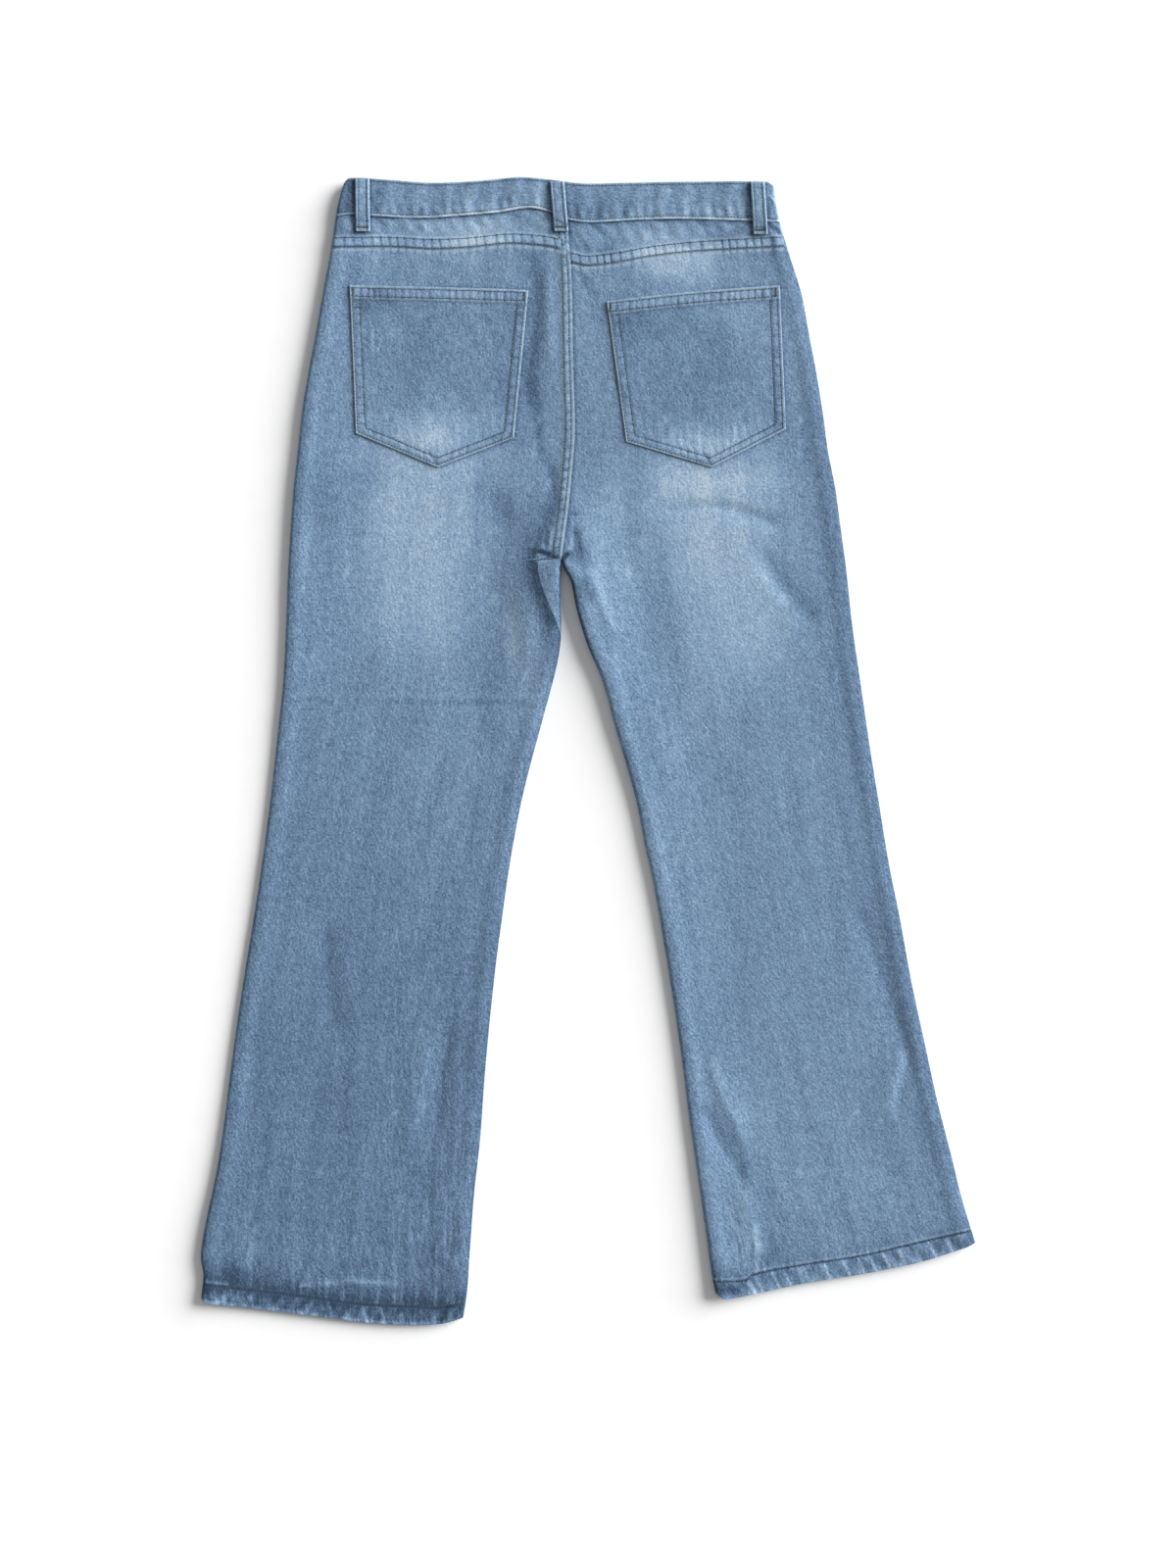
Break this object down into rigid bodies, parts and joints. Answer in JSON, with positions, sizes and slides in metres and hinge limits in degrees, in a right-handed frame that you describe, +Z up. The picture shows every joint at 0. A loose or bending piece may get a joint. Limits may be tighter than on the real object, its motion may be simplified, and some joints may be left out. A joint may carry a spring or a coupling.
{
  "type": "bootcut jeans",
  "caption": "Light blue stonewashed denim bootcut jeans laid flat with the back up, with patch pockets, yokes, belt loops, waistband and flared turned hems.",
  "frame": {"origin": "on the surface the garment lies on, under the middle of its outline", "axes": "+Z up off the surface and out of the garment's back, +Y from the hems to the waistband, +X towards the wearer's right side"},
  "size_m": [0.7253, 1.0739, 0.0094],
  "materials": {
    "denim": "stonewashed light blue twill, matt",
    "denim_faced": "stonewashed light blue twill, two layers, matt",
    "denim_trim": "worn light blue twill with pale folded edges, matt",
    "button_metal": "aged metal"
  },
  "bodies": {
    "root": {"back_left": "denim", "back_right": "denim", "front_left": "denim", "front_right": "denim", "waistband_front_left": "denim", "waistband_front_right": "denim", "waistband_back": "denim_faced", "yoke_left": "denim_faced", "yoke_right": "denim_faced", "pocket_left": "denim_trim", "pocket_right": "denim_trim", "loop_back_left": "denim_trim", "loop_back_centre": "denim_trim", "loop_back_right": "denim_trim", "loop_front_left": "denim_trim", "loop_front_right": "denim_trim", "button": "button_metal"}
  },
  "joints": []
}
